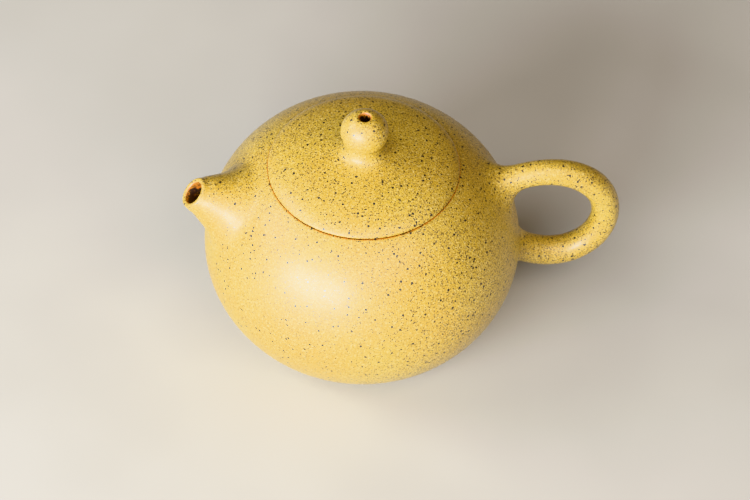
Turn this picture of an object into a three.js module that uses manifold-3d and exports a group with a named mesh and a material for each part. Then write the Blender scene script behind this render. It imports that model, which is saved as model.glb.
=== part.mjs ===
// A small round teapot of unglazed speckled clay: flush lid with a bead knob, short spout, loop handle.
// Units are millimetres and +Z is up. The pot stands on z = 0, the spout points along -X, the handle
// along +X, and the origin is under the middle of the pot's overall length.
// A potter makes each of these pieces separately and joins them with slip. Here they keep a narrow gap.
import * as THREE from 'three';
import { mergeVertices } from 'three/addons/utils/BufferGeometryUtils.js';
import Module from 'manifold-3d';

const wasm = await Module();
wasm.setup();

// Driving dimensions of the pot, measured from its own vertical axis
const POT_AXIS_X = -11.4;
const GAP = 0.3;
const WALL = 2.6;
const FOOT_RADIUS = 24;
const FOOT_SLOPE = 20;
const BELLY_RADIUS = 44;
const BELLY_HEIGHT = 29.6;
const RIM_RADIUS = 26.6;
const RIM_HEIGHT = 58.8;
const RIM_SLOPE = -28;
const LOWER_BEND = { foot: 11, belly: 13.2 };
const UPPER_BEND = { belly: 11.5, rim: 11.5 };
const SHOULDER_START = 0.68;
const BASE_RADIUS = 20.5;
const BASE_PRESS = 2.4;
const BASE_THICKNESS = 2.5;
const BASE_EDGE_HEIGHT = 0.4;
const BASE_FLAT_SHARE = 0.6;

// Mouth and lid
const MOUTH_RING = { inner: 23.8, outer: 25.6, depth: 4.8 };
const FLANGE = { inner: 21.6, outer: 23.4, depth: 6.2 };
const LID_RISE = 6.6;
const LID_THICKNESS = 2.6;
const LID_EDGE = 0.1;

// Knob, with heights above the underside of the lid
const KNOB_FOOT_RADIUS = 8.2;
const KNOB_WAIST = { radius: 4.95, height: 10 };
const KNOB_BEAD = { radius: 6.5, height: 14.25, rise: 6.1 };
const VENT = { radius: 1.5, flare: 1.8, flareDepth: 0.7 };

// Spout: its mouth's centre and the slope of its straight axis. The mouth is cut at an angle to the axis, so
// that the lower lip stands out further.
const SPOUT_MOUTH = { x: -47.05, z: 53.9 };
const SPOUT_SLOPE = 33;
const SPOUT_CUT = 11;
const SPOUT_LENGTH = 16;
const SPOUT_BEYOND = 2;
const SPOUT_LIP_RADIUS = 4.4;
const SPOUT_FLARE = { linear: 0.46, curved: 0.006, most: 6.2 };
const SPOUT_BORE = { radius: 3.1, flare: 0.13 };
const WALL_HOLE = { radius: 5.6, start: 8, end: 20 };

// Strainer: a ball about a point on the spout's axis, with a hole in the middle and rings of holes around it
const STRAINER = { centre: 13.6, outer: 8, inner: 6.5 };
const STRAINER_HOLE = { radius: 0.9, length: 6, sides: 6 };
const STRAINER_RINGS = [{ count: 6, tilt: 27 }, { count: 9, tilt: 52 }];

// Handle: a loop of two curves that meet at its outermost point
const HANDLE_TOP = [[30, 42.3], [47, 59.1], [68.5, 49.7], [68.8, 33.2]];
const HANDLE_BOTTOM = [[68.8, 33.2], [68.7, 19.5], [53.5, 10], [38, 27]];
const HANDLE_RADII = [5.2, 4.3, 3.6, 3.95, 3.9, 4.0, 4.2, 4.3, 4.5, 4.7];

// How finely the shapes are faceted
const AROUND = 48;
const LOW_STEPS = 8;
const HIGH_STEPS = 9;
const BORE_SIDES = 16;
const SPOUT_FACETS = { steps: 7, sides: 20 };
const HANDLE_FACETS = { steps: 28, sides: 14 };
const KNOB_AROUND = 24;

const v2 = (r, z) => new THREE.Vector2(r, z);
const radians = THREE.MathUtils.degToRad;

// A point at a distance and slope from another one
function away(from, slope, distance) {
  return v2(from.x + distance * Math.cos(radians(slope)), from.y + distance * Math.sin(radians(slope)));
}

// The outer outline, from the foot to the belly and from the belly to the rim. Each control point's distance
// from its end sets the bend, and the two curves bend alike where they meet.
const foot = v2(FOOT_RADIUS, 0);
const belly = v2(BELLY_RADIUS, BELLY_HEIGHT);
const rim = v2(RIM_RADIUS, RIM_HEIGHT);
const lowerOutline = new THREE.CubicBezierCurve(
  foot, away(foot, FOOT_SLOPE, LOWER_BEND.foot), away(belly, -90, LOWER_BEND.belly), belly);
const upperOutline = new THREE.CubicBezierCurve(
  belly, away(belly, 90, UPPER_BEND.belly), away(rim, RIM_SLOPE, UPPER_BEND.rim), rim);

// Points on an outline from one share of its length to another, set in by a depth
function layer(outline, from, to, depth, steps) {
  const points = [];
  for (let i = 0; i <= steps; i += 1) {
    const share = THREE.MathUtils.lerp(from, to, i / steps);
    const tangent = outline.getTangentAt(share);
    const inward = v2(-tangent.y, tangent.x);
    points.push(outline.getPointAt(share).addScaledVector(inward, depth));
  }
  return points;
}

// A closed three.js geometry as a solid: shared corners merged and empty triangles left out
function solid(geometry) {
  geometry.deleteAttribute('normal');
  geometry.deleteAttribute('uv');
  const merged = mergeVertices(geometry, 1e-4);
  const corners = merged.getIndex().array;
  const triangles = [];
  for (let i = 0; i < corners.length; i += 3) {
    const [a, b, c] = corners.slice(i, i + 3);
    if (a !== b && b !== c && c !== a) triangles.push(a, b, c);
  }
  return new wasm.Manifold(new wasm.Mesh({
    numProp: 3,
    vertProperties: new Float32Array(merged.getAttribute('position').array),
    triVerts: new Uint32Array(triangles),
  }));
}

// A solid of revolution about +Z from a closed outline, or one that starts and ends on the axis
function turned(outline, around = AROUND) {
  const closed = outline.at(0).x > 0 ? [...outline, outline.at(0).clone()] : outline;
  return solid(new THREE.LatheGeometry(closed, around).rotateX(Math.PI / 2));
}

// A rod of round section along a curve that lies in the XZ plane, with its radius given along its length
function rod(curve, radiusAt, steps, sides) {
  const geometry = new THREE.CylinderGeometry(1, 1, 1, sides, steps);
  const corners = geometry.getAttribute('position');
  for (let i = 0; i < corners.count; i += 1) {
    const share = THREE.MathUtils.clamp(corners.getY(i) + 0.5, 0, 1);
    const radius = radiusAt(share);
    const tangent = curve.getTangentAt(share);
    const across = new THREE.Vector3(-tangent.z, 0, tangent.x).multiplyScalar(corners.getX(i) * radius);
    const point = curve.getPointAt(share).add(across);
    corners.setXYZ(i, point.x, point.y + corners.getZ(i) * radius, point.z);
  }
  return solid(geometry);
}

// The spout's axis, by distance from the mouth: positive goes into the pot
function spoutPoint(distance) {
  const slope = radians(SPOUT_SLOPE);
  return new THREE.Vector3(
    SPOUT_MOUTH.x + distance * Math.cos(slope), 0, SPOUT_MOUTH.z - distance * Math.sin(slope));
}

function spoutLine(from, to) {
  return new THREE.LineCurve3(spoutPoint(from), spoutPoint(to));
}

// The whole body as a filled solid, set in by a depth: a negative depth makes it bigger
function filledBody(depth) {
  const low = layer(lowerOutline, 0, 1, depth, LOW_STEPS);
  const high = layer(upperOutline, 0, 1, depth, HIGH_STEPS).slice(1);
  return turned([v2(0, low.at(0).y), ...low, ...high, v2(0, high.at(-1).y)]);
}

function wallHole() {
  return rod(spoutLine(WALL_HOLE.start, WALL_HOLE.end), () => WALL_HOLE.radius, 1, BORE_SIDES);
}

function makeBodyWall() {
  const skin = (depth) => [
    ...layer(lowerOutline, 0, 1, depth, LOW_STEPS),
    ...layer(upperOutline, 0, SHOULDER_START, depth, HIGH_STEPS - 3).slice(1),
  ];
  const outside = skin(0);
  const inside = skin(WALL);
  const base = [v2(BASE_RADIUS, inside.at(0).y), v2(BASE_RADIUS, 0)];
  return turned([...outside, ...inside.reverse(), ...base]).subtract(wallHole());
}

function makeShoulderDisc() {
  const start = SHOULDER_START + GAP / upperOutline.getLength();
  const hole = MOUTH_RING.outer + GAP;
  const outside = layer(upperOutline, start, 1, 0, 4);
  const inside = layer(upperOutline, start, 1, WALL, 4).filter((point) => point.x > hole);
  const edge = [v2(hole, RIM_HEIGHT), v2(hole, inside.at(-1).y)];
  return turned([...outside, ...edge, ...inside.reverse()]).subtract(wallHole());
}

function makeMouthRing() {
  const { inner, outer, depth } = MOUTH_RING;
  const low = RIM_HEIGHT - depth;
  return turned([v2(inner, low), v2(outer, low), v2(outer, RIM_HEIGHT), v2(inner, RIM_HEIGHT)]);
}

// The base is pressed in from below, so the pot stands on the flat ring around it
function makeBaseDisc() {
  const edge = BASE_RADIUS - GAP;
  const flat = v2(edge * BASE_FLAT_SHARE, BASE_PRESS);
  const under = new THREE.QuadraticBezierCurve(v2(0, BASE_PRESS), flat, v2(edge, BASE_EDGE_HEIGHT));
  const below = under.getPoints(4);
  const above = below.map((point) => v2(point.x, point.y + BASE_THICKNESS)).reverse();
  return turned([...below, ...above]);
}

// The spout flares towards the belly, where it meets the body's surface, and is cut off across its mouth
function makeSpout(body) {
  const outer = (distance) => {
    const flare = SPOUT_FLARE.linear * distance + SPOUT_FLARE.curved * distance ** 2;
    return SPOUT_LIP_RADIUS + Math.min(flare, SPOUT_FLARE.most);
  };
  const inner = (distance) => SPOUT_BORE.radius + SPOUT_BORE.flare * distance;
  const along = (from, to, radiusAt) => (share) => radiusAt(THREE.MathUtils.lerp(from, to, share));
  const start = -SPOUT_BEYOND;
  const end = SPOUT_LENGTH;
  const bore = rod(spoutLine(start - 1, end + 1), along(start - 1, end + 1, inner), 2, BORE_SIDES);
  const slope = radians(SPOUT_SLOPE + SPOUT_CUT);
  const inward = new THREE.Vector3(Math.cos(slope), 0, -Math.sin(slope));
  return rod(spoutLine(start, end), along(start, end, outer), SPOUT_FACETS.steps, SPOUT_FACETS.sides)
    .subtract(bore)
    .trimByPlane(inward.toArray(), inward.dot(spoutPoint(0)))
    .subtract(body);
}

// Directions of the strainer's holes: one in the middle, then two rings of them
function strainerDirections() {
  const inward = spoutPoint(1).sub(spoutPoint(0)).normalize();
  const toAxis = new THREE.Quaternion().setFromUnitVectors(new THREE.Vector3(0, 0, 1), inward);
  const directions = [inward];
  for (const { count, tilt } of STRAINER_RINGS) {
    for (let i = 0; i < count; i += 1) {
      const around = (i / count) * Math.PI * 2;
      const direction = new THREE.Vector3().setFromSphericalCoords(1, radians(tilt), around);
      directions.push(new THREE.Vector3(direction.x, direction.z, direction.y).applyQuaternion(toAxis));
    }
  }
  return directions;
}

// A pierced clay dome over the spout's hole, inside the pot
function makeStrainer(cavity) {
  const centre = spoutPoint(STRAINER.centre);
  const ball = (radius) => {
    const geometry = new THREE.SphereGeometry(radius, 16, 10).translate(centre.x, centre.y, centre.z);
    return solid(geometry);
  };
  let dome = ball(STRAINER.outer).subtract(ball(STRAINER.inner)).intersect(cavity);
  for (const direction of strainerDirections()) {
    const drill = new THREE.CylinderGeometry(STRAINER_HOLE.radius, STRAINER_HOLE.radius, STRAINER_HOLE.length,
      STRAINER_HOLE.sides);
    drill.translate(0, STRAINER.outer, 0);
    drill.applyQuaternion(new THREE.Quaternion().setFromUnitVectors(new THREE.Vector3(0, 1, 0), direction));
    dome = dome.subtract(solid(drill.translate(centre.x, centre.y, centre.z)));
  }
  return dome;
}

function makeHandle(body) {
  const point = ([x, z]) => new THREE.Vector3(x, 0, z);
  const loop = new THREE.CurvePath();
  for (const half of [HANDLE_TOP, HANDLE_BOTTOM]) loop.add(new THREE.CubicBezierCurve3(...half.map(point)));
  const last = HANDLE_RADII.length - 1;
  const thickness = new THREE.SplineCurve(HANDLE_RADII.map((radius, i) => v2(i / last, radius)));
  const radiusAt = (share) => thickness.getPoint(share).y;
  return rod(loop, radiusAt, HANDLE_FACETS.steps, HANDLE_FACETS.sides).subtract(body);
}

// The lid's domed outside, as a height above its underside
const lidBall = (RIM_RADIUS ** 2 + LID_RISE ** 2) / (2 * LID_RISE);
const lidTop = LID_EDGE + LID_RISE;
const domeHeight = (radius, inset = 0) => lidTop - lidBall + Math.sqrt((lidBall - inset) ** 2 - radius ** 2);

function makeLidPlate() {
  const flat = Math.sqrt((lidBall - LID_THICKNESS) ** 2 - (lidBall - lidTop) ** 2);
  const outside = [];
  const inside = [];
  for (let i = 0; i <= 7; i += 1) outside.push(THREE.MathUtils.lerp(RIM_RADIUS, VENT.radius, i / 7));
  for (let i = 0; i <= 4; i += 1) inside.push(THREE.MathUtils.lerp(VENT.radius, flat, i / 4));
  return turned([
    v2(RIM_RADIUS, 0),
    ...outside.map((radius) => v2(radius, domeHeight(radius))),
    ...inside.map((radius) => v2(radius, Math.max(domeHeight(radius, LID_THICKNESS), 0))),
  ]);
}

function makeLidFlange() {
  const { inner, outer, depth } = FLANGE;
  return turned([v2(inner, -depth), v2(outer, -depth), v2(outer, -GAP), v2(inner, -GAP)]);
}

function makeKnob() {
  const onLid = (radius) => v2(radius, domeHeight(radius) + GAP);
  const foot = onLid(KNOB_FOOT_RADIUS);
  const waist = v2(KNOB_WAIST.radius, KNOB_WAIST.height);
  const neck = new THREE.QuadraticBezierCurve(foot, v2(waist.x, foot.y + GAP), waist).getPoints(4);
  const fromAngle = -Math.acos(waist.x / KNOB_BEAD.radius);
  const toAngle = Math.acos(VENT.flare / KNOB_BEAD.radius);
  const bead = [];
  for (let i = 1; i <= 10; i += 1) {
    const angle = THREE.MathUtils.lerp(fromAngle, toAngle, i / 10);
    bead.push(v2(KNOB_BEAD.radius * Math.cos(angle), KNOB_BEAD.height + KNOB_BEAD.rise * Math.sin(angle)));
  }
  const vent = [v2(VENT.radius, bead.at(-1).y - VENT.flareDepth), onLid(VENT.radius)];
  return turned([...neck, ...bead, ...vent, onLid(KNOB_FOOT_RADIUS / 2)], KNOB_AROUND);
}

function mesh(name, shape, color, roughness) {
  const { vertProperties, triVerts } = shape.getMesh();
  const geometry = new THREE.BufferGeometry();
  geometry.setAttribute('position', new THREE.BufferAttribute(vertProperties, 3));
  geometry.setIndex(new THREE.BufferAttribute(triVerts, 1));
  geometry.computeVertexNormals();
  const piece = new THREE.Mesh(geometry, new THREE.MeshStandardMaterial({ color, roughness, metalness: 0 }));
  piece.name = name;
  return piece;
}

const SPECKLED_CLAY = 0xd0ad52;
const STAINED_CLAY = 0xa8642c;
const grownBody = filledBody(-GAP);
const cavity = filledBody(WALL + GAP);

const teapot = new THREE.Group();
teapot.position.x = POT_AXIS_X;
teapot.add(
  mesh('body_wall', makeBodyWall(), SPECKLED_CLAY, 0.55),
  mesh('shoulder_disc', makeShoulderDisc(), SPECKLED_CLAY, 0.55),
  mesh('base_disc', makeBaseDisc(), SPECKLED_CLAY, 0.6),
  mesh('mouth_ring', makeMouthRing(), STAINED_CLAY, 0.65),
  mesh('spout', makeSpout(grownBody), SPECKLED_CLAY, 0.55),
  mesh('strainer_dome', makeStrainer(cavity), STAINED_CLAY, 0.65),
  mesh('handle', makeHandle(grownBody), SPECKLED_CLAY, 0.55),
);

const lid = new THREE.Group();
lid.position.z = RIM_HEIGHT + GAP;
lid.add(
  mesh('lid_plate', makeLidPlate(), SPECKLED_CLAY, 0.55),
  mesh('lid_flange', makeLidFlange(), STAINED_CLAY, 0.65),
  mesh('lid_knob', makeKnob(), SPECKLED_CLAY, 0.5),
);
teapot.add(lid);

export default teapot;
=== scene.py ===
"""Looks of a small round clay teapot: a fused pot with spout and handle, and a lid with a bead knob."""
import math

import bpy
import numpy as np
from mathutils import Matrix, Vector


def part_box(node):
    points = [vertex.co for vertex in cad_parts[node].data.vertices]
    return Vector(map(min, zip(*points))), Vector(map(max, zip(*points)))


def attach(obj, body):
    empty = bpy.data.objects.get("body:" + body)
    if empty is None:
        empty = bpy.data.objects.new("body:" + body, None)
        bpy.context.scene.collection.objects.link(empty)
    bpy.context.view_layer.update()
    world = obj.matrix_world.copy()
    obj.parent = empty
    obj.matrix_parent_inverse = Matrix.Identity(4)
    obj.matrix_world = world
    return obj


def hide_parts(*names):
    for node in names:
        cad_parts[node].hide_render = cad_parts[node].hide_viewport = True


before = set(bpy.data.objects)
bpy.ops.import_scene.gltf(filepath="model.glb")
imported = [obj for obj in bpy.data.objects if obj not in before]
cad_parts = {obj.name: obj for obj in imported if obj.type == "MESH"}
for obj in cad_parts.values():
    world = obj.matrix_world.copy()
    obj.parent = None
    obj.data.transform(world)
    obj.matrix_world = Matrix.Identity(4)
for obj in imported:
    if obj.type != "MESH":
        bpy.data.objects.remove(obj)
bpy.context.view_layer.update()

# Driving dimensions. Shapes are worked out in millimetres from the pot's own axis.
MM = 0.001
lid_low, lid_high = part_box("lid_plate")
wall_low, wall_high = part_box("body_wall")
AXIS_X = (lid_low.x + lid_high.x) / 2

# The round wall: its outline is two curves, from the foot to the belly and from the belly to the rim, and
# CURVE_REACH is how far their control points lie from their ends. The mesh has AROUND columns, and rows that
# are ROW apart on the wall and DISC_ROW apart on the base.
BELLY_RADIUS = (wall_high.y - wall_low.y) / 2 / MM
BELLY_HEIGHT = 29.6
RIM_RADIUS = (lid_high.y - lid_low.y) / 2 / MM
RIM_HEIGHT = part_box("shoulder_disc")[1].z / MM
FOOT_RADIUS = 24.0
FOOT_SLOPE = 20
RIM_SLOPE = -28
CURVE_REACH = {"foot": 11, "below_belly": 13.2, "above_belly": 11.5, "rim": 11.5}
WALL = 2.6
AROUND = 240
ROW = 1.0
DISC_ROW = 2
PROFILE_STEP = 0.2

# The pressed-in base, the flat ring that the pot stands on, and the mouth.
BASE_RADIUS = 20.5
BASE_PRESS = 2.4
BASE_THICKNESS = 2.5
BASE_FLAT_SHARE = 0.6
BASE_EDGE_HEIGHT = 0.4
FOOT_ROUND = {"inner": 1.0, "outer": 0.8}
MOUTH_RADIUS = 25.6
MOUTH_RING = {"inner": 23.8, "bottom": 54.0, "gap": 0.02}
EDGE_ROUND = 0.3

# The spout, by the depth below its mouth. It stands clear of the wall down to SPOUT_FREE, and from there it
# flows into the wall. A hole in the wall is as many rows and columns as twice its half.
SPOUT_MOUTH = (-47.04, 53.9)
SPOUT_SLOPE = 33
SPOUT_CUT = 11
SPOUT_CUT_DEPTH = 6
SPOUT_LIP = 4.22
SPOUT_FLARE = 0.46
SPOUT_CURL = 0.006
SPOUT_FLARE_END = 11
SPOUT_LINE = {"start": -2, "end": 20, "step": 0.25}
LIP_ROUND = 0.45
SPOUT_FILLET = 4.0
SPOUT_FREE = 2.5
SPOUT_BORE = 3.05
BORE_FLARE = 0.13
BORE_END = 12.8
BORE_HOLE = 13.8
SPOUT_HOLE = {"height": 48, "column": AROUND // 2, "half": 14}
SPOUT_RINGS = {"fillet": 14, "tube": 4, "lip": 9, "bore": 14, "inside": 6}

# The handle: two curves that meet at its outermost point, and its radius at lengths along them. It flows into
# the wall where it is nearer to it than HANDLE_FREE, and bends to the fillet where it is nearer than
# HANDLE_NEAR. POCKET is how deep under the wall's outside the hidden faces at its ends lie.
HANDLE_TOP = [(30, 40.9), (47, 59.6), (68.5, 49.7), (68.65, 33.2)]
HANDLE_BOTTOM = [(68.65, 33.2), (68.7, 19.5), (53.5, 10), (38, 27)]
HANDLE_ALONG = [0, 9, 14, 19, 26, 38, 50, 62, 76, 90, 120]
HANDLE_RADII = [4.7, 4.2, 3.7, 3.5, 3.6, 3.95, 3.9, 3.95, 4.15, 4.3, 4.6]
HANDLE_FILLETS = {"top": 6.5, "bottom": 3.6}
HANDLE_TOP_HOLE = {"height": 50, "column": 0, "half": 10}
HANDLE_BOTTOM_HOLE = {"height": 22.6, "column": 0, "half": 10}
HANDLE_FREE = 2.5
HANDLE_NEAR = 8
HANDLE_STEP = 0.3
HANDLE_RING_EVERY = 4
FILLET_RINGS = 12
POCKET = {"handle": 0.9, "wall": 1.1}

# The lid: a dome that rolls down to its edge, the ring under it and the knob on it. The bead's start and end
# are degrees above its middle, and the reaches place the control points of the knob's curves.
LID_SEAT = 59.0
LID_TOP = 65.8
LID_DOME = 56.9
LID_THICKNESS = 2.6
LID_ROLL = {"width": 4.0, "rise": 0.8}
LID_GAP = 0.1
LID_LAND = 0.3
LID_AROUND = 180
FLANGE = {"inner": 21.6, "outer": 23.4, "bottom": 52.9, "top": 58.95}
FLANGE_CLEAR = 0.6
RING_ROUND = 0.4
KNOB_FOOT = 9.0
KNOB_WAIST = (4.95, 69.1)
KNOB_BEAD = {"radius": 6.55, "height": 73.3, "rise": 6.1, "start": -20, "end": 65}
KNOB_REACH = {"foot": (-2.7, 0.45), "waist": (0, 2.6), "neck": (0, 0.8), "crown": (-1.0, 0.28)}
VENT_REACH = 0.15
BEAD_REACH = 8
VENT_RADIUS = 1.5
VENT_START = 1
VENT_ROW = 2
KNOB_CLOSE = 64.8
POCKET_DEPTH = 0.2

# Tea stains and painted shade, on one scale: 1 is fully orange brown, and from there to 2 they turn near
# black. The near black is dark tea stain in patches, and painted shade deep in the bore and on its low side,
# down the vent and in the gap at the rim. Over the rim's rounded edge the stain grows from the first value to
# the second, and below 0 there is none.
# At the rim's inner edge the stain passes 1 and turns near black: tea stain with painted shade in the lid's
# gap.
RIM_STAIN_AND_SHADE = (-1.2, 1.25)
MOUTH_STAIN = 0.7
INSIDE_STAIN = 0.45
FLOOR_STAIN = 0.5
FLOOR_MIDDLE_STAIN = 1.0
# In the bore, the low side and deep shares are painted shade: the bore darkens deeper in and most on its low
# side. The lip, hole and inside shares are tea stain.
BORE_STAIN_AND_SHADE = {"lip": 0.85, "low_side_shade": 1.15, "deep_stain_and_shade": 0.3, "hole": 0.8, "inside": 0.7}
# The depth over which the painted shade on the bore's low side grows, and the share of that painted shade on
# every side.
BORE_SHADE_DEPTH = 2.0
BORE_SHADE_ALL_ROUND_SHARE = 0.25
LID_UNDER_STAIN = 0.8
LID_POCKET_STAIN = 1.0
# The vent's rows past the knob's top go up by 1 every this many rows: a little orange stain, then painted
# shade to near black down the vent.
VENT_STAIN_AND_SHADE_ROWS = 4
RING_STAIN = 0.4
STRAINER_STAIN = 0.6
# The top of the scale, fully near black: painted shade in the bore and the vent.
MOST_STAIN_AND_SHADE = 2

# Colours and patterns.
CLAY = (0.595, 0.41, 0.045)
CLAY_WARM = (0.595, 0.38, 0.036)
CLAY_PALE = (0.82, 0.66, 0.24)
FRECKLE = (0.19, 0.105, 0.018)
BROWN_SPECK = (0.030, 0.014, 0.006)
BLACK_SPECK = (0.012, 0.008, 0.006)
STAIN = (0.60, 0.17, 0.02)
# Near black: dark tea stain, and painted shade in the bore, the vent and the rim's gap.
NEAR_BLACK_STAIN_AND_SHADE = (0.022, 0.008, 0.004)
BOARD = (0.47, 0.46, 0.445)
BOARD_PALE = (0.50, 0.49, 0.475)
# Lumps of another colour in the clay. Each pattern has the noise's size, detail and roughness, the span of
# the noise over which it fades in, and its least and most share.
LUMPS = [
    (CLAY_WARM, {"size": 26, "detail": 3, "rough": 0.5, "span": (0.35, 0.68), "most": 1.0}),
    (CLAY_PALE, {"size": 0.55, "detail": 3, "rough": 0.7, "span": (0.47, 0.7), "most": 0.8}),
    (FRECKLE, {"size": 0.37, "detail": 2, "rough": 0.8, "span": (0.48, 0.61), "most": 0.8}),
]
STAIN_MOTTLE = {"size": 1.6, "detail": 3, "rough": 0.6, "span": (0.3, 0.7), "least": 0.55}
STAIN_PATCHES = {"size": 1.1, "detail": 3, "rough": 0.6, "span": (0.35, 0.65), "least": 0.75, "most": 1.35}
STAIN_SPAN = (0.0, 1.0)
# Where the scale turns near black: dark tea stain and painted shade.
NEAR_BLACK_STAIN_AND_SHADE_SPAN = (1.0, 1.7)
SPECK_PATCHES = {"size": 6, "detail": 2, "rough": 0.5, "span": (0.35, 0.6)}
# Round specks, one to a cell. Their share goes from the least to the most over the clay's patches.
SPECKS = [
    {"cell": 0.75, "radius": 0.175, "soft": 0.15, "least": 0.9, "most": 0.9, "colour": BROWN_SPECK},
    {"cell": 1.2, "radius": 0.22, "soft": 0.12, "least": 0.55, "most": 1.0, "colour": BROWN_SPECK},
    {"cell": 2.3, "radius": 0.35, "soft": 0.1, "least": 1.0, "most": 1.0, "colour": BLACK_SPECK},
]
SKIN = {"Specular IOR Level": 1.0, "IOR": 1.58, "Coat Weight": 0.65, "Coat Roughness": 0.3}
ROUGHNESS = {"size": 1.1, "detail": 3, "rough": 0.5, "span": (0.3, 0.7), "least": 0.50, "most": 0.60}
DENTS = {"size": 9, "detail": 1, "rough": 0.5, "strength": 0.25, "distance": 0.0006}
GRAIN = {"size": 0.42, "detail": 3, "rough": 0.6, "strength": 1.0, "distance": 0.00011}
BOARD_PATCHES = {"size": 60, "detail": 2, "rough": 0.5, "span": (0.3, 0.7)}
BOARD_ROUGHNESS = 0.9


# Curves -------------------------------------------------------------------------------------------

def bezier(points, share):
    """Points at the given shares of a quadratic or cubic Bezier curve."""
    points = np.array(points, float)
    order = len(points) - 1
    share = np.atleast_1d(np.asarray(share, float))[:, None]
    total = np.zeros((len(share), points.shape[1]))
    for i, point in enumerate(points):
        total += math.comb(order, i) * share ** i * (1 - share) ** (order - i) * point
    return total


def evenly(points, spacing):
    """The same line with points evenly spaced along it."""
    steps = np.hypot(*np.diff(points, axis=0).T)
    length = np.concatenate([[0], np.cumsum(steps)])
    count = max(2, round(length[-1] / spacing) + 1)
    wanted = np.linspace(0, length[-1], count)
    return np.stack([np.interp(wanted, length, column) for column in points.T], axis=1)


def away(point, slope, distance):
    """A point at a slope in degrees and a distance from another."""
    angle = math.radians(slope)
    return (point[0] + distance * math.cos(angle), point[1] + distance * math.sin(angle))


def set_in(points, depth):
    """An outline moved towards the inside of the pot, for one that runs upwards."""
    along = np.gradient(points, axis=0)
    along /= np.linalg.norm(along, axis=1)[:, None]
    return points + depth * np.stack([-along[:, 1], along[:, 0]], axis=1)


def body_outline():
    """The pot's outside from the foot to the rim."""
    foot, belly, rim = (FOOT_RADIUS, 0), (BELLY_RADIUS, BELLY_HEIGHT), (RIM_RADIUS, RIM_HEIGHT)
    from_foot = away(foot, FOOT_SLOPE, CURVE_REACH["foot"])
    below_belly = away(belly, -90, CURVE_REACH["below_belly"])
    above_belly = away(belly, 90, CURVE_REACH["above_belly"])
    to_rim = away(rim, RIM_SLOPE, CURVE_REACH["rim"])
    fine = np.linspace(0, 1, 400)
    lower = bezier([foot, from_foot, below_belly, belly], fine)
    upper = bezier([belly, above_belly, to_rim, rim], fine)
    return np.vstack([lower, upper[1:]])


def handle_line():
    """The middle of the handle's loop, from the shoulder round to the belly."""
    fine = np.linspace(0, 1, 300)
    loop = np.vstack([bezier(HANDLE_TOP, fine), bezier(HANDLE_BOTTOM, fine)[1:]])
    return evenly(loop, HANDLE_STEP)


def spout_point(depth):
    """A point on the spout's middle line at a depth below its mouth."""
    slope = math.radians(SPOUT_SLOPE)
    depth = np.atleast_1d(np.asarray(depth, float))[:, None]
    return np.array(SPOUT_MOUTH) + depth * np.array([math.cos(slope), -math.sin(slope)])


def spout_radius(depth):
    depth = np.clip(depth, 0, SPOUT_FLARE_END)
    return SPOUT_LIP + SPOUT_FLARE * depth + SPOUT_CURL * depth ** 2


def bore_radius(depth):
    return SPOUT_BORE + BORE_FLARE * depth


def smooth_values(places, values, wanted, window=25):
    """Values given at some places, read at wanted ones and smoothed."""
    fine = np.interp(wanted, places, values)
    weight = np.hanning(window + 2)[1:-1]
    return np.convolve(np.pad(fine, window // 2, mode="edge"), weight / weight.sum(), mode="valid")


# The pot's outer surface as one smooth shape ------------------------------------------------------

class Profile:
    """Distance to a surface of revolution, positive on its outer side."""

    def __init__(self, outline):
        self.points = evenly(outline, PROFILE_STEP)
        along = np.gradient(self.points, axis=0)
        along /= np.linalg.norm(along, axis=1)[:, None]
        self.out = np.stack([along[:, 1], -along[:, 0]], axis=1)

    def distance(self, points):
        flat = np.stack([np.hypot(points[:, 0], points[:, 1]), points[:, 2]], axis=1)
        apart = ((flat[:, None, :] - self.points[None]) ** 2).sum(axis=2)
        near = apart.argmin(axis=1)
        return ((flat - self.points[near]) * self.out[near]).sum(axis=1)


class Tube:
    """Distance to a round rod whose middle line lies in the XZ plane."""

    def __init__(self, line, radii):
        self.points = line
        self.radii = radii
        along = np.gradient(line, axis=0)
        self.along = along / np.linalg.norm(along, axis=1)[:, None]
        self.spacing = np.linalg.norm(line[1] - line[0])

    def distance(self, points):
        flat = points[:, [0, 2]]
        apart = ((flat[:, None, :] - self.points[None]) ** 2).sum(axis=2)
        near = apart.argmin(axis=1)
        offset = flat - self.points[near]
        past = (offset * self.along[near]).sum(axis=1)
        offset -= past[:, None] * self.along[near]
        radius = np.interp(near + past / self.spacing, np.arange(len(self.radii)), self.radii)
        return np.sqrt((offset ** 2).sum(axis=1) + points[:, 1] ** 2) - radius


def smooth_join(a, b, fillet):
    """The smaller of two distances, with a soft fillet where they are alike."""
    overlap = np.clip(fillet - np.abs(a - b), 0, None) / fillet
    return np.minimum(a, b) - overlap ** 2 * fillet / 4


def joined(body, rod, fillet):
    return lambda points: smooth_join(body.distance(points), rod.distance(points), fillet)


def settle(points, distance, rounds=8):
    """Moves points onto the surface where a distance is nought."""
    points = points.copy()
    step = 0.15
    least_slope = 0.2
    for _ in range(rounds):
        value = distance(points)
        slope = np.stack([
            (distance(points + offset) - distance(points - offset)) / (2 * step)
            for offset in np.eye(3) * step], axis=1)
        points -= (value / np.maximum((slope ** 2).sum(axis=1), least_slope))[:, None] * slope
    return points


# Meshes -------------------------------------------------------------------------------------------

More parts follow.
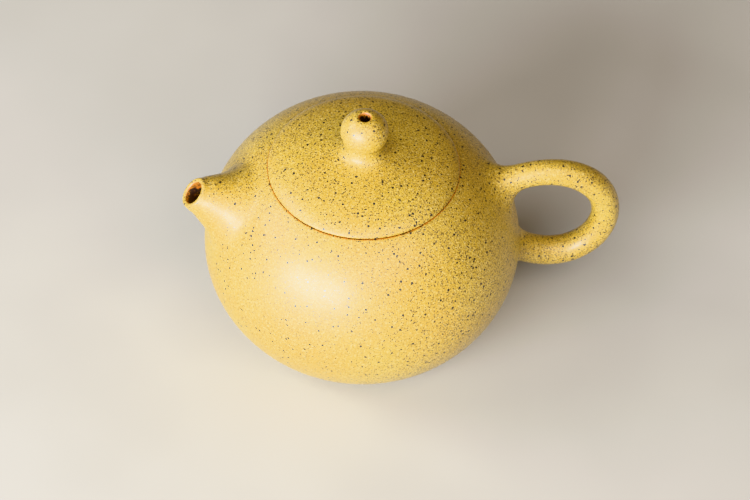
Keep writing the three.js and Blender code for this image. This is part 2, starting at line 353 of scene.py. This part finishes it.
class Shell:
    """A growing mesh of points and faces, each face with the name of the piece that it belongs to."""

    def __init__(self):
        self.points = []
        self.faces = []
        self.owner = []
        self.stain_and_shade = []

    def add(self, points, stain_and_shade=0.0):
        """Adds points and returns their numbers."""
        start = len(self.points)
        self.points.extend(np.asarray(points, float))
        self.stain_and_shade.extend(np.broadcast_to(stain_and_shade, len(points)))
        return np.arange(start, start + len(points))

    def bridge(self, first, second, owner, gaps=()):
        """Four-sided faces between two closed rings of the same length, without the columns in gaps."""
        corners = zip(first, np.roll(first, -1), np.roll(second, -1), second)
        for column, face in enumerate(corners):
            if column not in gaps:
                self.faces.append(face)
                self.owner.append(owner)

    def bridge_all(self, rings, owner):
        for first, second in zip(rings, rings[1:]):
            self.bridge(first, second, owner)

    def fan(self, ring, centre, owner):
        for a, b in zip(ring, np.roll(ring, -1)):
            self.faces.append((a, b, centre))
            self.owner.append(owner)

    def normals(self):
        """A smooth direction at each point, from the faces around it."""
        points = np.array(self.points)
        total = np.zeros_like(points)
        seen = [face for face, owner in zip(self.faces, self.owner) if "hidden" not in owner]
        for size in (3, 4):
            faces = np.array([face for face in seen if len(face) == size])
            if len(faces):
                corners = points[faces]
                across = corners[:, 2] - corners[:, 0]
                other = corners[:, 3] - corners[:, 1] if size == 4 else corners[:, 1] - corners[:, 0]
                area = np.cross(across, other) if size == 4 else np.cross(other, across)
                for i in range(size):
                    np.add.at(total, faces[:, i], area)
        return total / np.maximum(np.linalg.norm(total, axis=1), 1e-12)[:, None]


def ring(radius, height, around=AROUND):
    angle = np.arange(around) / around * 2 * math.pi
    return np.stack([radius * np.cos(angle), radius * np.sin(angle), np.full(around, height)], axis=1)


def make_object(name, points, faces, normals, stain_and_shade, material):
    """A Blender object in the shared frame, from millimetres about the pot's axis."""
    mesh = bpy.data.meshes.new(name)
    placed = np.asarray(points) * MM + np.array([AXIS_X, 0, 0])
    mesh.from_pydata(placed.tolist(), [], [tuple(int(i) for i in face) for face in faces])
    stain_and_shade_values = mesh.attributes.new("stain_and_shade", "FLOAT", "POINT")
    stain_and_shade_values.data.foreach_set("value", np.asarray(stain_and_shade, np.float32))
    mesh.polygons.foreach_set("use_smooth", [True] * len(mesh.polygons))
    mesh.update()
    mesh.normals_split_custom_set_from_vertices(normals.tolist())
    mesh.materials.append(material)
    piece = bpy.data.objects.new(name, mesh)
    bpy.context.scene.collection.objects.link(piece)
    return piece


def cut_out(shell, normals, name, material):
    """One piece of a shell as its own object, with the hidden faces that close it."""
    owners = (name, name + " hidden")
    faces = [face for face, owner in zip(shell.faces, shell.owner) if owner in owners]
    used = sorted({int(i) for face in faces for i in face})
    number = {old: new for new, old in enumerate(used)}
    faces = [[number[int(i)] for i in face] for face in faces]
    points = np.array(shell.points)[used]
    stain_and_shade = np.array(shell.stain_and_shade)[used]
    return make_object(name, points, faces, normals[used], stain_and_shade, material)


# The pot ------------------------------------------------------------------------------------------

def pot_rows():
    """The pot's outline in runs: base, outside, rim, mouth, inside (from the foot up) and floor."""
    outside = evenly(body_outline(), ROW)
    inside = set_in(outside, WALL)
    fine = np.linspace(0, 1, 60)
    few = np.linspace(0, 1, 6)
    flat = BASE_FLAT_SHARE * BASE_RADIUS
    edge = (BASE_RADIUS, BASE_EDGE_HEIGHT)
    press = bezier([(0, BASE_PRESS), (flat, BASE_PRESS), edge], fine)
    land_start = (BASE_RADIUS + FOOT_ROUND["inner"], 0)
    land_in = bezier([edge, (BASE_RADIUS + BASE_EDGE_HEIGHT, 0), land_start], few)
    land_out = bezier([(FOOT_RADIUS - FOOT_ROUND["outer"], 0), (FOOT_RADIUS, 0), outside[1]], few)
    base = np.vstack([evenly(press, DISC_ROW)[1:], land_in[1:], land_out[:-1]])
    rim = outside[-1]
    over = bezier([rim + (outside[-2] - rim) * EDGE_ROUND, rim, rim - (EDGE_ROUND, 0)], few)
    backed = len(inside) - int(np.argmax(inside[::-1, 0] > MOUTH_RADIUS))
    mouth = np.vstack([[(MOUTH_RADIUS, RIM_HEIGHT)], [(MOUTH_RADIUS, inside[backed - 1, 1])]])
    top = (0, BASE_PRESS + BASE_THICKNESS)
    floor = evenly(bezier([inside[1], (flat, top[1]), top], fine), DISC_ROW)[1:-1]
    return base, outside[1:-1], over, mouth, inside[1:backed], floor


def hole_rows(rows, hole):
    """The lowest and highest row of a hole in the wall."""
    middle = int(np.argmin(np.abs(rows[:, 1] - hole["height"])))
    return middle - hole["half"], middle + hole["half"]


def hole_edge(rings, low, high, hole):
    """The edge of a hole, from the middle of its top side and counter-clockwise as seen from outside."""
    column, half = hole["column"], hole["half"]
    path = [(high, column - i) for i in range(half)]
    path += [(row, column - half) for row in range(high, low, -1)]
    path += [(low, i) for i in range(column - half, column + half)]
    path += [(row, column + half) for row in range(low, high)]
    path += [(high, i) for i in range(column + half, column, -1)]
    return np.array([rings[row][i % AROUND] for row, i in path])


def grow_wall(shell):
    """The pot's wall, mouth, inside and base. Returns the outer and the inner edge of each hole in it."""
    runs = pot_rows()
    outer_rows = runs[1]
    # The rim's tea stain turns near black at its inner edge: painted shade in the lid's gap.
    rim_stain_and_shade = np.clip(np.linspace(*RIM_STAIN_AND_SHADE, len(runs[2])), 0, None)
    stain_and_shade_values = [0, 0, rim_stain_and_shade, MOUTH_STAIN, INSIDE_STAIN, FLOOR_STAIN]
    base, outer, rim, mouth, inner, floor = [
        [shell.add(ring(*row), value) for row, value in zip(rows, np.broadcast_to(stain_and_shade, len(rows)))]
        for rows, stain_and_shade in zip(runs, stain_and_shade_values)]
    gaps = {}
    edges = []
    for hole, through in [(SPOUT_HOLE, True), (HANDLE_TOP_HOLE, False), (HANDLE_BOTTOM_HOLE, False)]:
        low, high = hole_rows(outer_rows, hole)
        covered = {(hole["column"] + i) % AROUND for i in range(-hole["half"], hole["half"])}
        for row in range(low, high):
            gaps.setdefault(outer[row][0], set()).update(covered)
            if through:
                gaps.setdefault(inner[row + 1][0], set()).update(covered)
        inside_edge = hole_edge(inner, low, high, hole) if through else None
        edges.append((hole_edge(outer, low, high, hole), inside_edge))
    rings = [*base, *outer, *rim, *mouth, *inner[::-1], *floor]
    for first, second in zip(rings, rings[1:]):
        shell.bridge(first, second, "pot_wall", gaps.get(first[0], ()))
    shell.fan(base[0][::-1], shell.add([(0, 0, BASE_PRESS)])[0], "pot_wall")
    floor_middle = (0, 0, BASE_PRESS + BASE_THICKNESS)
    shell.fan(floor[-1], shell.add([floor_middle], FLOOR_MIDDLE_STAIN)[0], "pot_wall")
    return edges


def rod_angles(points, centre, along):
    """The angle of each point about a rod's middle line, rising from nought."""
    offset = points - [centre[0], 0, centre[1]]
    return np.unwrap(np.arctan2(-offset[:, 1], offset[:, 2] * along[0] - offset[:, 0] * along[1]))


def rod_ring(centre, along, radius, angle):
    """Points round a rod at the given angles."""
    side = radius * np.cos(angle)
    sideways = -radius * np.sin(angle)
    return np.stack([centre[0] - side * along[1], sideways, centre[1] + side * along[0]], axis=1)


def between(shell, first, last, distance, steps, owner, stain_and_shade=0.0):
    """Faces from one ring to another of as many points, by way of rings settled on a surface."""
    start, end = np.array(shell.points)[first], np.array(shell.points)[last]
    rings = [first]
    for share in np.linspace(0, 1, steps + 1)[1:-1]:
        rings.append(shell.add(settle(start + (end - start) * share, distance), stain_and_shade))
    shell.bridge_all([*rings, last], owner)


def bore_stain_and_shade(depth, angle):
    """The tea stain round the bore at a depth, with painted shade that darkens it deeper in and most on its
    low side.
    """
    low_side_shade = np.clip(BORE_SHADE_ALL_ROUND_SHARE + (1 - BORE_SHADE_ALL_ROUND_SHARE) * np.cos(angle), 0, 1)
    # Painted shade: the bore darkens on its low side and, with the deep share, deeper in.
    low_side_painted_shade = BORE_STAIN_AND_SHADE["low_side_shade"] * low_side_shade * min(1, depth / BORE_SHADE_DEPTH)
    stain_and_shade = BORE_STAIN_AND_SHADE["lip"] + low_side_painted_shade + BORE_STAIN_AND_SHADE["deep_stain_and_shade"] * min(1, depth / BORE_END)
    return np.minimum(stain_and_shade, MOST_STAIN_AND_SHADE)


def grow_spout(shell, edge, inner_edge):
    """The spout, from the wall's outside to its mouth and back through the bore to the wall's inside."""
    slope = math.radians(SPOUT_SLOPE)
    along = (-math.cos(slope), math.sin(slope))
    edge, inner_edge = np.roll(edge, len(edge) // 2), np.roll(inner_edge, len(edge) // 2)
    angle = rod_angles(np.array(shell.points)[edge], spout_point(SPOUT_FREE)[0], along)

    def spout_ring(depth, radius):
        """A ring about the spout's axis, tilted near the mouth so that its lower lip stands out."""
        loop = rod_ring(spout_point(depth)[0], along, radius, angle)
        tilt = math.tan(math.radians(SPOUT_CUT)) * max(0, 1 - depth / SPOUT_CUT_DEPTH)
        out = tilt * radius * np.cos(angle)
        return loop + out[:, None] * np.array([along[0], 0, along[1]])

    rings = [shell.add(settle(spout_ring(SPOUT_FREE, spout_radius(SPOUT_FREE)), with_spout))]
    for depth in np.linspace(SPOUT_FREE, LIP_ROUND, SPOUT_RINGS["tube"])[1:]:
        rings.append(shell.add(spout_ring(depth, spout_radius(depth))))
    outer, bore = spout_radius(LIP_ROUND), bore_radius(LIP_ROUND)
    for turn in np.linspace(0, math.pi, SPOUT_RINGS["lip"])[1:-1]:
        radius = (outer + bore) / 2 + (outer - bore) / 2 * math.cos(turn)
        stain_and_shade = max(0, 2 * turn / math.pi - 1) ** 2
        rings.append(shell.add(spout_ring(LIP_ROUND * (1 - math.sin(turn)), radius), stain_and_shade))
    for depth in np.linspace(LIP_ROUND, BORE_END, SPOUT_RINGS["bore"]):
        # The bore's rings: tea stain with painted shade that darkens deeper in and on the low side.
        rings.append(shell.add(spout_ring(depth, bore_radius(depth)), bore_stain_and_shade(depth, angle)))
    hole = settle(spout_ring(BORE_HOLE, bore_radius(BORE_HOLE)), inner_shape.distance)
    rings.append(shell.add(hole, BORE_STAIN_AND_SHADE["hole"]))
    between(shell, edge, rings[0], with_spout, SPOUT_RINGS["fillet"], "spout")
    shell.bridge_all(rings, "spout")
    between(shell, rings[-1], inner_edge, inner_shape.distance, SPOUT_RINGS["inside"], "spout",
            BORE_STAIN_AND_SHADE["inside"])
    shell.bridge(inner_edge, edge, "spout hidden")
    shell.bridge(edge, inner_edge, "pot_wall hidden")


def close_pocket(shell, edge):
    """The hidden faces under one end of the handle: the handle's own, and the wall's just below them."""
    points = np.array(shell.points)[edge]
    middle = settle(points.mean(axis=0)[None], body_shape.distance)
    step = middle - settle(middle, lambda at: body_shape.distance(at) + 1)
    shell.fan(edge[::-1], shell.add(middle + POCKET["handle"] * -step)[0], "handle hidden")
    shell.fan(edge, shell.add(middle + POCKET["wall"] * -step)[0], "pot_wall hidden")


def grow_handle(shell, top_edge, bottom_edge):
    """The handle's loop, from the shoulder round to the belly."""
    room = body_shape.distance(np.insert(handle_axis, 1, 0, axis=1)) - handle_radii
    first, last = np.flatnonzero(room > HANDLE_FREE)[[0, -1]]
    turned = np.roll(bottom_edge[::-1], 1 + len(bottom_edge) // 2)
    points = np.array(shell.points)
    along = handle_shape.along
    start_angle = rod_angles(points[top_edge], handle_axis[first], along[first])
    end_angle = rod_angles(points[turned], handle_axis[last], along[last])
    rings = []
    for station in [*range(first, last, HANDLE_RING_EVERY), last]:
        share = (station - first) / (last - first)
        angle = start_angle * (1 - share) + end_angle * share
        loop = rod_ring(handle_axis[station], along[station], handle_radii[station], angle)
        surface = with_handle_top if share < 0.5 else with_handle_bottom
        if room[station] < HANDLE_NEAR:
            loop = settle(loop, surface)
        rings.append(shell.add(loop))
    between(shell, top_edge, rings[0], with_handle_top, FILLET_RINGS, "handle")
    shell.bridge_all(rings, "handle")
    between(shell, rings[-1], turned, with_handle_bottom, FILLET_RINGS, "handle")
    close_pocket(shell, top_edge)
    close_pocket(shell, bottom_edge)


body_shape = Profile(body_outline())
inner_shape = Profile(set_in(body_outline(), WALL))
spout_depths = np.arange(SPOUT_LINE["start"], SPOUT_LINE["end"], SPOUT_LINE["step"])
spout_shape = Tube(spout_point(spout_depths), spout_radius(spout_depths))
handle_axis = handle_line()
handle_radii = smooth_values(HANDLE_ALONG, HANDLE_RADII, np.arange(len(handle_axis)) * HANDLE_STEP)
handle_shape = Tube(handle_axis, handle_radii)
with_spout = joined(body_shape, spout_shape, SPOUT_FILLET)
with_handle_top = joined(body_shape, handle_shape, HANDLE_FILLETS["top"])
with_handle_bottom = joined(body_shape, handle_shape, HANDLE_FILLETS["bottom"])


# The lid ------------------------------------------------------------------------------------------

def dome_height(radius, depth=0.0):
    """The height of the lid's dome at a radius, at a depth under its surface."""
    return LID_TOP - LID_DOME + np.sqrt((LID_DOME - depth) ** 2 - np.asarray(radius, float) ** 2)


def lid_height(radius):
    """The height of the lid's top, which is a little fuller than the dome and rolls down to its edge."""
    roll_start = RIM_RADIUS - LID_ROLL["width"]
    fuller = np.clip((radius - KNOB_FOOT) / (roll_start - KNOB_FOOT), 0, 1)
    fall = np.clip((radius - roll_start) / LID_ROLL["width"], 0, 1)
    return dome_height(radius) + LID_ROLL["rise"] * (fuller ** 2 * (3 - 2 * fuller) - fall ** 3)


def lid_rows():
    """The lid's outline from the vent under it, out along the underside, over the dome and up the knob."""
    few = np.linspace(0, 1, 7)
    under_radii = np.linspace(VENT_RADIUS, FLANGE["inner"] - FLANGE_CLEAR, 16)
    under = np.stack([under_radii, dome_height(under_radii, LID_THICKNESS)], axis=1)
    edge = (RIM_RADIUS - LID_GAP, LID_SEAT)
    over = RIM_RADIUS - LID_GAP - EDGE_ROUND
    corner = bezier([(over - LID_LAND, LID_SEAT), edge, (over, lid_height(over))], few)
    rolled = np.linspace(over, RIM_RADIUS - LID_ROLL["width"], 9)[1:]
    dome_radii = np.append(rolled, np.linspace(rolled[-1], KNOB_FOOT, 15)[1:])
    dome = np.stack([dome_radii, lid_height(dome_radii)], axis=1)
    return np.vstack([under, corner, dome])


def knob_rows():
    """The knob's outline from its foot on the dome, over the bead and down the vent."""
    foot = np.array([KNOB_FOOT, float(dome_height(KNOB_FOOT))])
    waist = np.array(KNOB_WAIST)
    reach = KNOB_REACH

    def bead(turn):
        turn = np.radians(turn)
        across, up = KNOB_BEAD["radius"] * np.cos(turn), KNOB_BEAD["rise"] * np.sin(turn)
        return np.stack([across, KNOB_BEAD["height"] + up], axis=-1)

    stem = bezier([foot, foot + reach["foot"], waist - reach["waist"], waist], np.linspace(0, 1, 14))
    start = bead(KNOB_BEAD["start"])
    before_start = start - (bead(KNOB_BEAD["start"] + BEAD_REACH) - start)
    neck = bezier([waist, waist + reach["neck"], before_start, start], np.linspace(0, 1, 6))
    crown = bead(np.linspace(KNOB_BEAD["start"], KNOB_BEAD["end"], 24))
    top = crown[-1]
    vent_top, vent_start = (VENT_RADIUS, top[1] + VENT_REACH), (VENT_RADIUS, top[1] - VENT_START)
    into = bezier([top, top + reach["crown"], vent_top, vent_start], np.linspace(0, 1, 9))
    bore = [(VENT_RADIUS, z) for z in np.linspace(top[1] - VENT_ROW, KNOB_CLOSE, 5)]
    return np.vstack([stem[1:], neck[1:], crown[1:], into[1:], bore])


def grow_lid(shell):
    """The lid's plate with its knob, with the hidden faces where the two are joined."""
    plate_points, knob_points = lid_rows(), knob_rows()
    on_seat = 0.02
    under = plate_points[:, 1] < LID_SEAT + on_seat
    plate = [shell.add(ring(radius, height, LID_AROUND), LID_UNDER_STAIN if low else 0.0)
             for (radius, height), low in zip(plate_points, under)]
    top = knob_points[:, 1].argmax()
    knob = []
    for row, (radius, height) in enumerate(knob_points):
        # Painted shade down the vent: past the knob's top each row is darker, through a little orange stain
        # to near black.
        stain_and_shade = min(MOST_STAIN_AND_SHADE, max(0, row - top) / VENT_STAIN_AND_SHADE_ROWS)
        knob.append(shell.add(ring(radius, height, LID_AROUND), stain_and_shade))
    shell.bridge_all(plate, "lid_plate")
    shell.bridge_all([plate[-1], *knob], "lid_knob")
    shell.bridge(knob[-1], plate[-1], "lid_knob hidden")
    pocket = shell.add(ring(VENT_RADIUS, KNOB_CLOSE - POCKET_DEPTH, LID_AROUND), LID_POCKET_STAIN)
    shell.bridge(plate[-1], pocket, "lid_plate hidden")
    shell.bridge(pocket, plate[0], "lid_plate hidden")


def grow_ring(shell, owner, inner, outer, bottom, top):
    """A plain clay ring with rounded edges."""
    few = np.linspace(0, 1, 5)
    corners = [(outer, bottom), (outer, top), (inner, top), (inner, bottom)]
    rows = []
    for before, corner, after in zip([corners[-1], *corners], corners, [*corners[1:], corners[0]]):
        before, corner, after = np.array(before), np.array(corner), np.array(after)
        near = corner + RING_ROUND * (before - corner) / np.linalg.norm(before - corner)
        far = corner + RING_ROUND * (after - corner) / np.linalg.norm(after - corner)
        rows.extend(bezier([near, corner, far], few))
    rings = [shell.add(ring(radius, height, LID_AROUND), RING_STAIN) for radius, height in rows]
    shell.bridge_all([*rings, rings[0]], owner)


# Materials ----------------------------------------------------------------------------------------

class Nodes:
    """A short way to build a material's nodes."""

    def __init__(self, name):
        self.material = bpy.data.materials.new(name)
        self.material.use_nodes = True
        self.tree = self.material.node_tree
        self.shader = self.tree.nodes["Principled BSDF"]
        self.place = self.add("ShaderNodeTexCoord").outputs["Object"]

    def add(self, kind, **settings):
        node = self.tree.nodes.new(kind)
        for key, value in settings.items():
            setattr(node, key, value)
        return node

    def link(self, source, target):
        self.tree.links.new(source, target)

    def ramp(self, source, start, end, low=0.0, high=1.0):
        """A value that goes smoothly from low to high as the source goes from start to end."""
        node = self.add("ShaderNodeMapRange", interpolation_type="SMOOTHSTEP")
        for name, value in [("From Min", start), ("From Max", end), ("To Min", low), ("To Max", high)]:
            node.inputs[name].default_value = value
        self.link(source, node.inputs["Value"])
        return node.outputs["Result"]

    def noise(self, size, detail, rough):
        """Noise with lumps of about this size in millimetres."""
        node = self.add("ShaderNodeTexNoise")
        node.inputs["Scale"].default_value = 1 / (size * MM)
        node.inputs["Detail"].default_value = detail
        node.inputs["Roughness"].default_value = rough
        self.link(self.place, node.inputs["Vector"])
        return node.outputs["Fac"]

    def patches(self, size, detail, rough, span, least=0.0, most=1.0):
        """Smooth patches that go from the least to the most value over a span of the noise."""
        return self.ramp(self.noise(size, detail, rough), *span, least, most)

    def specks(self, cell, radius, soft):
        """Scattered round specks of a radius in millimetres, one to each cell of space."""
        node = self.add("ShaderNodeTexVoronoi", feature="F1")
        node.inputs["Scale"].default_value = 1 / (cell * MM)
        self.link(self.place, node.inputs["Vector"])
        start, end = radius * (1 - soft) / cell, radius * (1 + soft) / cell
        return self.ramp(node.outputs["Distance"], start, end, 1.0, 0.0)

    def bump(self, size, detail, rough, strength, distance, under=None):
        """Lumps of a height in metres, on top of another bump."""
        node = self.add("ShaderNodeBump")
        node.inputs["Strength"].default_value = strength
        node.inputs["Distance"].default_value = distance
        self.link(self.noise(size, detail, rough), node.inputs["Height"])
        if under is not None:
            self.link(under, node.inputs["Normal"])
        return node.outputs["Normal"]

    def maths(self, operation, first, second):
        node = self.add("ShaderNodeMath", operation=operation)
        for value, socket in [(first, node.inputs[0]), (second, node.inputs[1])]:
            if isinstance(value, float):
                socket.default_value = value
            else:
                self.link(value, socket)
        return node.outputs["Value"]

    def mix(self, share, first, second):
        """The first colour, and the second one where the share is 1."""
        node = self.add("ShaderNodeMix", data_type="RGBA")
        self.link(share, node.inputs[0])
        for value, socket in [(first, node.inputs[6]), (second, node.inputs[7])]:
            if isinstance(value, tuple):
                socket.default_value = (*value, 1)
            else:
                self.link(value, socket)
        return node.outputs[2]


def clay_colour(nodes):
    """Yellow clay with warmer, paler and darker lumps in it."""
    colour = CLAY
    for lump_colour, pattern in LUMPS:
        colour = nodes.mix(nodes.patches(**pattern), colour, lump_colour)
    return colour


def add_stains_and_painted_shade(nodes, colour, soaked):
    """Tea stains and painted shade where the point attribute is high, raised all over by how soaked the clay
    is. Past 1 the colour turns near black: dark tea stain, and painted shade in the bore, the vent and the
    rim's gap.
    """
    stain_and_shade = nodes.add("ShaderNodeAttribute", attribute_name="stain_and_shade").outputs["Fac"]
    if soaked:
        stain_and_shade = nodes.maths("ADD", stain_and_shade, soaked)
    light = nodes.maths("MULTIPLY", nodes.ramp(stain_and_shade, *STAIN_SPAN), nodes.patches(**STAIN_MOTTLE))
    colour = nodes.mix(light, colour, STAIN)
    # Near black past 1: dark tea stain in patches, and painted shade in the bore, the vent and the rim's gap.
    deep_stain_and_shade = nodes.ramp(nodes.maths("MULTIPLY", stain_and_shade, nodes.patches(**STAIN_PATCHES)), *NEAR_BLACK_STAIN_AND_SHADE_SPAN)
    return nodes.mix(deep_stain_and_shade, colour, NEAR_BLACK_STAIN_AND_SHADE)


def add_specks(nodes, colour):
    for speck in SPECKS:
        share = nodes.patches(**SPECK_PATCHES, least=speck["least"], most=speck["most"])
        dots = nodes.specks(speck["cell"], speck["radius"], speck["soft"])
        colour = nodes.mix(nodes.maths("MULTIPLY", dots, share), colour, speck["colour"])
    return colour


def clay_material(name, soaked=0.0):
    """Speckled yellow clay with an even satin skin, with tea stains and painted shade from the mesh's
    attribute, stained all over where it is soaked.
    """
    nodes = Nodes(name)
    shader = nodes.shader
    colour = add_specks(nodes, add_stains_and_painted_shade(nodes, clay_colour(nodes), soaked))
    nodes.link(colour, shader.inputs["Base Color"])
    nodes.link(nodes.patches(**ROUGHNESS), shader.inputs["Roughness"])
    for socket, value in SKIN.items():
        shader.inputs[socket].default_value = value
    nodes.link(nodes.bump(**GRAIN, under=nodes.bump(**DENTS)), shader.inputs["Normal"])
    return nodes.material


def floor_material():
    """Pale matt board with a faint unevenness."""
    nodes = Nodes("floor")
    colour = nodes.mix(nodes.patches(**BOARD_PATCHES), BOARD, BOARD_PALE)
    nodes.link(colour, nodes.shader.inputs["Base Color"])
    nodes.shader.inputs["Roughness"].default_value = BOARD_ROUGHNESS
    return nodes.material


# Putting it together ------------------------------------------------------------------------------

clay = clay_material("speckled_clay")
pot = Shell()
(spout_edge, spout_inner), (handle_top, _), (handle_bottom, _) = grow_wall(pot)
grow_spout(pot, spout_edge, spout_inner)
grow_handle(pot, handle_top, handle_bottom)
lid = Shell()
grow_lid(lid)
rings = Shell()
ring_outer = MOUTH_RADIUS - MOUTH_RING["gap"]
grow_ring(rings, "mouth_clay_ring", MOUTH_RING["inner"], ring_outer, MOUTH_RING["bottom"], RIM_HEIGHT)
grow_ring(rings, "flange_clay_ring", FLANGE["inner"], FLANGE["outer"], FLANGE["bottom"], FLANGE["top"])

soaked_clay = clay_material("soaked_clay", STRAINER_STAIN)
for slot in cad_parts["strainer_dome"].material_slots:
    slot.link = "OBJECT"
    slot.material = soaked_clay

PIECES = [
    (pot, "pot_wall", "pot", ["body_wall", "shoulder_disc", "base_disc"]),
    (pot, "spout", "pot", ["spout"]),
    (pot, "handle", "pot", ["handle"]),
    (rings, "mouth_clay_ring", "pot", ["mouth_ring"]),
    (lid, "lid_plate", "lid", ["lid_plate"]),
    (lid, "lid_knob", "lid", ["lid_knob"]),
    (rings, "flange_clay_ring", "lid_seat", ["lid_flange"]),
]
for shell, name, body, nodes_replaced in PIECES:
    piece = cut_out(shell, shell.normals(), name, clay)
    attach(piece, body)
    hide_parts(*nodes_replaced)


# Floor, light and camera --------------------------------------------------------------------------

def add_floor():
    mesh = bpy.data.meshes.new("floor")
    half = 1.5
    corners = [(-half, -half, 0), (half, -half, 0), (half, half, 0), (-half, half, 0)]
    mesh.from_pydata(corners, [], [(0, 1, 2, 3)])
    mesh.materials.append(floor_material())
    floor = bpy.data.objects.new("floor", mesh)
    bpy.context.scene.collection.objects.link(floor)


def towards(azimuth, elevation):
    """The direction from the object to a viewer, with azimuth 0 at the front."""
    around, up = math.radians(azimuth), math.radians(elevation)
    return Vector((math.sin(around) * math.cos(up), -math.cos(around) * math.cos(up), math.sin(up)))


def add_light(name, azimuth, elevation, width, height, power, colour):
    """A soft light of a size in metres, one metre from the pot and turned to its middle."""
    light = bpy.data.lights.new(name, "AREA")
    light.shape = "RECTANGLE"
    light.size = width
    light.size_y = height
    light.energy = power
    light.color = colour
    lamp = bpy.data.objects.new(name, light)
    middle = Vector((AXIS_X, 0, 0.035))
    lamp.location = middle + towards(azimuth, elevation)
    lamp.rotation_euler = (middle - lamp.location).to_track_quat("-Z", "Y").to_euler()
    bpy.context.scene.collection.objects.link(lamp)


def add_world(colour, strength):
    world = bpy.data.worlds.new("studio")
    world.use_nodes = True
    background = world.node_tree.nodes["Background"]
    background.inputs["Color"].default_value = (*colour, 1)
    background.inputs["Strength"].default_value = strength
    bpy.context.scene.world = world


def add_camera(azimuth, elevation, roll, distance, lens, aim_at, aside):
    """A camera turned to a point, then moved sideways and up in its own picture by aside."""
    around, turned = math.radians(azimuth), math.radians(roll)
    back = towards(azimuth, elevation)
    right = Vector((math.cos(around), math.sin(around), 0))
    up = back.cross(right)
    side = right * math.cos(turned) + up * math.sin(turned)
    top = up * math.cos(turned) - right * math.sin(turned)
    data = bpy.data.cameras.new("camera")
    data.sensor_width = 36
    data.lens = lens
    camera = bpy.data.objects.new("camera", data)
    place = Vector(aim_at) + side * aside[0] + top * aside[1] + back * distance
    turn = Matrix((side, top, back)).transposed().to_4x4()
    camera.matrix_world = Matrix.Translation(place) @ turn
    bpy.context.scene.collection.objects.link(camera)
    bpy.context.scene.camera = camera


add_floor()
add_light("window", azimuth=-40, elevation=19, width=0.8, height=0.38, power=23.5, colour=(0.97, 1, 1))
add_light("sky", azimuth=-98, elevation=38, width=0.5, height=0.5, power=5, colour=(1, 0.97, 0.92))
add_light("room", azimuth=25, elevation=50, width=0.6, height=0.6, power=4.5, colour=(1, 0.84, 0.66))
add_world(colour=(1, 0.85, 0.68), strength=0.18)
bpy.context.scene.view_settings.view_transform = "Khronos PBR Neutral"
add_camera(azimuth=-8, elevation=49.19, roll=1.5924, distance=1.04605, lens=180, aim_at=(AXIS_X, 0, 0.0335),
           aside=(0.00353, -0.00611))
